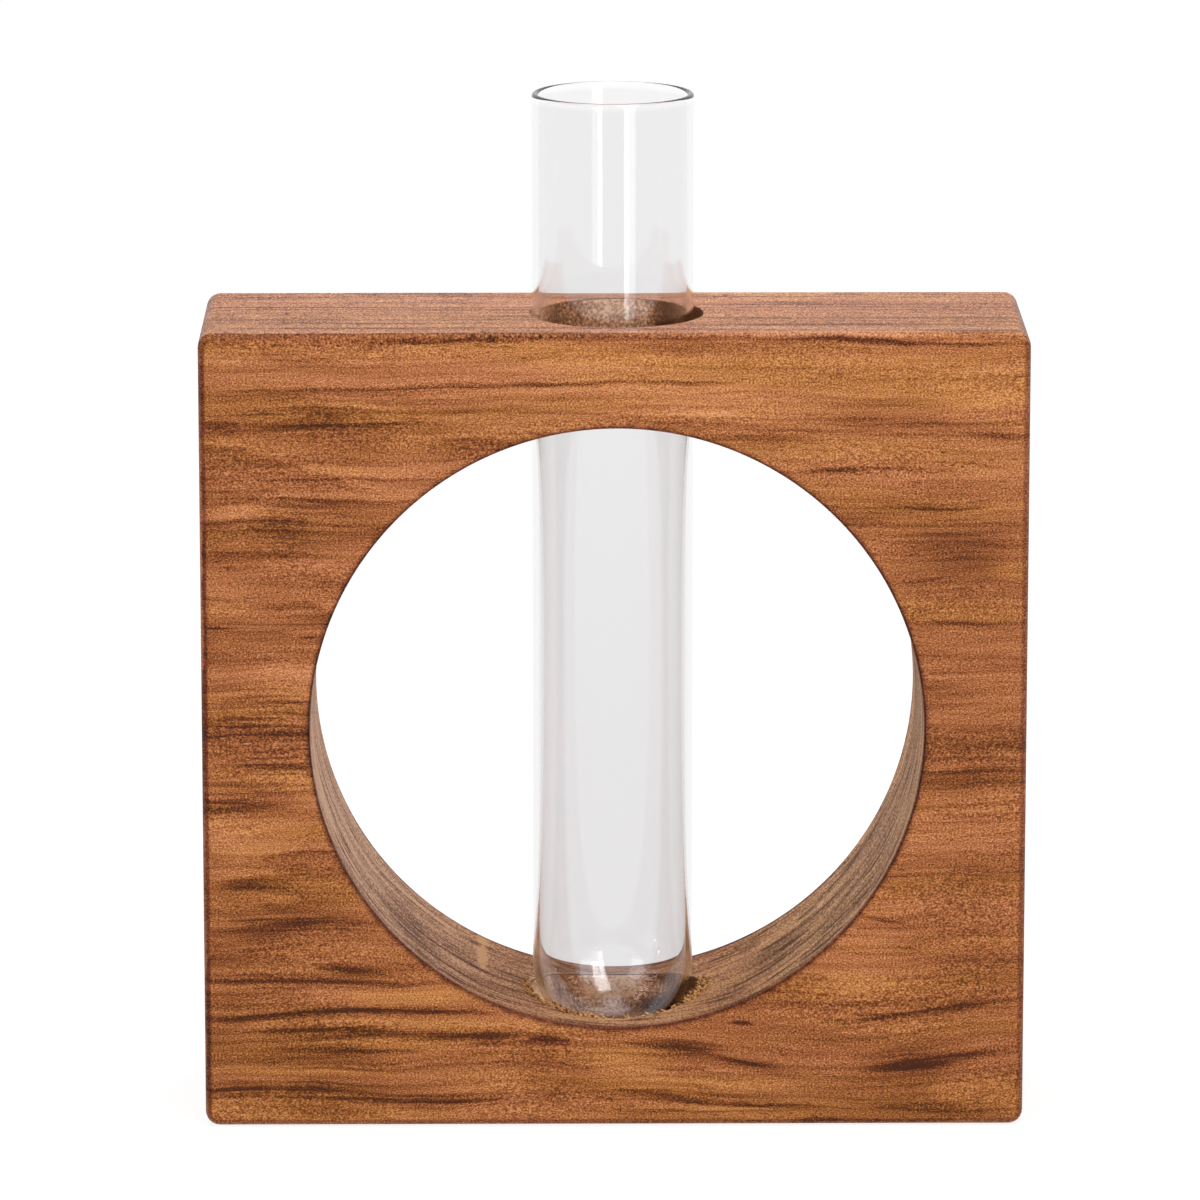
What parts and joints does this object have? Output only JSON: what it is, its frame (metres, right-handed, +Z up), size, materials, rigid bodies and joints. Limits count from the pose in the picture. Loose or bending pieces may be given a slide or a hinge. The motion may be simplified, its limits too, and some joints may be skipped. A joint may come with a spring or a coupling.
{
  "type": "test tube vase",
  "caption": "Bud vase: a thick upright wooden block with a large round window, holding a loose round-bottomed glass test tube that stands upright through the window.",
  "frame": {"origin": "middle of the wooden block's flat underside, on the surface that the vase stands on", "axes": "+Z up along the test tube, +X along the block's width, -Y out of the front face that the window opens in"},
  "size_m": [0.127, 0.038, 0.1592],
  "materials": {
    "wood": "oiled teak-like hardwood, flat-sawn front, satin",
    "glass": "clear, smooth, fire-polished rim"
  },
  "bodies": {
    "wood_block": {"wood_block": "wood"},
    "test_tube": {"test_tube": "glass"}
  },
  "joints": [
    {"name": "tube_lift", "type": "slide", "parent": "wood_block", "child": "test_tube", "axis": [0, 0, 1], "range_m": [0, 0.12]}
  ]
}
